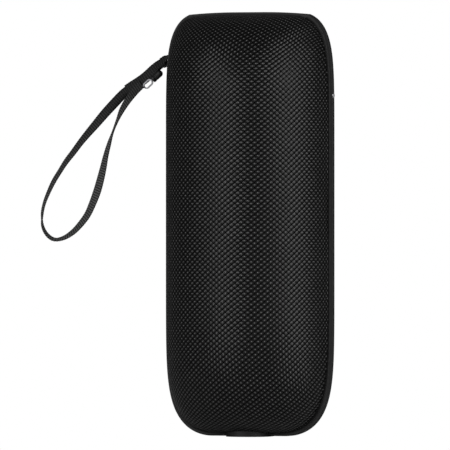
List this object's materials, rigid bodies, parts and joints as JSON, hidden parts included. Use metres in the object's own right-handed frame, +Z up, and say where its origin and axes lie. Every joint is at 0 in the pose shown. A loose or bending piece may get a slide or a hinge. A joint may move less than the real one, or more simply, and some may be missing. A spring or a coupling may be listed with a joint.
{
  "type": "portable bluetooth speaker",
  "caption": "Upright fabric-covered portable speaker with domed ends, a smooth trim band round its middle plane, a rear control panel and a webbing wrist strap.",
  "frame": {"origin": "centre of the foot's lower face, on the surface the speaker stands on", "axes": "+Z up along the body's long axis, front towards -Y, strap lug on the -X side, controls and port on the +Y back"},
  "size_m": [0.165, 0.089, 0.222],
  "materials": {
    "knit_fabric": "matte",
    "frame_plastic": "matte",
    "trim_rubber": "satin",
    "seal_rubber": "matte",
    "panel_rubber": "matte",
    "button_rubber": "satin",
    "light_plastic": "gloss",
    "polished_metal": "polished",
    "switch_metal": "satin",
    "screw_steel": "satin",
    "chassis_plastic": "matte",
    "basket_steel": "satin",
    "magnet_iron": "matte",
    "cone_paper": "matte",
    "surround_rubber": "matte",
    "radiator_metal": "satin",
    "cell_sleeve": "satin",
    "circuit_board": "satin",
    "lead_sleeve": "satin",
    "lug_plastic": "satin",
    "webbing": "matte"
  },
  "bodies": {
    "housing": {"front_fabric": "knit_fabric", "rear_fabric": "knit_fabric", "front_frame": "frame_plastic", "rear_frame": "frame_plastic", "front_trim_ring": "trim_rubber", "rear_trim_ring": "trim_rubber", "seam_seal": "seal_rubber", "foot": "trim_rubber", "control_panel": "panel_rubber", "status_light_pipe": "light_plastic", "power_switch": "switch_metal", "port_panel": "panel_rubber", "door_hinge_pin": "screw_steel", "usb_socket": "switch_metal", "front_chassis": "chassis_plastic", "rear_chassis": "chassis_plastic", "chassis_gasket": "seal_rubber", "chassis_screws": "screw_steel", "upper_basket": "basket_steel", "upper_magnet": "magnet_iron", "upper_surround": "surround_rubber", "lower_basket": "basket_steel", "lower_magnet": "magnet_iron", "lower_surround": "surround_rubber", "driver_screws": "screw_steel", "front_radiator_frame": "chassis_plastic", "front_radiator_surround": "surround_rubber", "rear_radiator_frame": "chassis_plastic", "rear_radiator_surround": "surround_rubber", "radiator_screws": "screw_steel", "battery_cells": "cell_sleeve", "battery_holder": "frame_plastic", "battery_lead": "lead_sleeve", "main_board": "circuit_board", "board_components": "switch_metal", "board_screws": "screw_steel", "button_board": "circuit_board", "tact_switches": "switch_metal", "speaker_leads": "lead_sleeve", "strap_lug": "lug_plastic"},
    "upper_cone": {"upper_cone": "cone_paper"},
    "lower_cone": {"lower_cone": "cone_paper"},
    "front_radiator": {"front_radiator_plate": "radiator_metal"},
    "rear_radiator": {"rear_radiator_plate": "radiator_metal"},
    "power_key": {"power_button": "polished_metal"},
    "bluetooth_key": {"bluetooth_button": "button_rubber"},
    "volume_up_key": {"volume_up_button": "button_rubber"},
    "play_key": {"play_button": "button_rubber"},
    "volume_down_key": {"volume_down_button": "button_rubber"},
    "door": {"port_door": "panel_rubber"},
    "strap": {"strap_webbing": "webbing", "strap_eye": "webbing", "strap_neck": "webbing", "strap_clasp": "lug_plastic", "strap_eyelet": "polished_metal"}
  },
  "joints": [
    {"name": "upper_cone_travel", "type": "slide", "parent": "housing", "child": "upper_cone", "axis": [0, -1, 0], "range_m": [-0.0025, 0.0025], "stiffness_N_per_m": 1500, "deforming": ["upper_surround"]},
    {"name": "lower_cone_travel", "type": "slide", "parent": "housing", "child": "lower_cone", "axis": [0, -1, 0], "range_m": [-0.0025, 0.0025], "stiffness_N_per_m": 1500, "deforming": ["lower_surround"]},
    {"name": "front_radiator_travel", "type": "slide", "parent": "housing", "child": "front_radiator", "axis": [0, -1, 0], "range_m": [-0.0035, 0.0035], "stiffness_N_per_m": 900},
    {"name": "rear_radiator_travel", "type": "slide", "parent": "housing", "child": "rear_radiator", "axis": [0, 1, 0], "range_m": [-0.0035, 0.0035], "stiffness_N_per_m": 900},
    {"name": "power_press", "type": "slide", "parent": "housing", "child": "power_key", "axis": [-1, 0, 0], "range_m": [0, 0.0005], "stiffness_N_per_m": 400},
    {"name": "bluetooth_press", "type": "slide", "parent": "housing", "child": "bluetooth_key", "axis": [0, -1, 0], "range_m": [0, 0.0006], "stiffness_N_per_m": 400},
    {"name": "volume_up_press", "type": "slide", "parent": "housing", "child": "volume_up_key", "axis": [0, -1, 0], "range_m": [0, 0.0006], "stiffness_N_per_m": 400},
    {"name": "play_press", "type": "slide", "parent": "housing", "child": "play_key", "axis": [0, -1, 0], "range_m": [0, 0.0006], "stiffness_N_per_m": 400},
    {"name": "volume_down_press", "type": "slide", "parent": "housing", "child": "volume_down_key", "axis": [0, -1, 0], "range_m": [0, 0.0006], "stiffness_N_per_m": 400},
    {"name": "port_door_hinge", "type": "hinge", "parent": "housing", "child": "door", "pos_m": [0, 0.0433, 0.0612], "axis": [-1, 0, 0], "range_deg": [0, 100]},
    {"name": "strap_swing", "type": "hinge", "parent": "housing", "child": "strap", "pos_m": [-0.0451, 0.011, 0.198], "axis": [0, 1, 0], "range_deg": [-24, 110]}
  ]
}
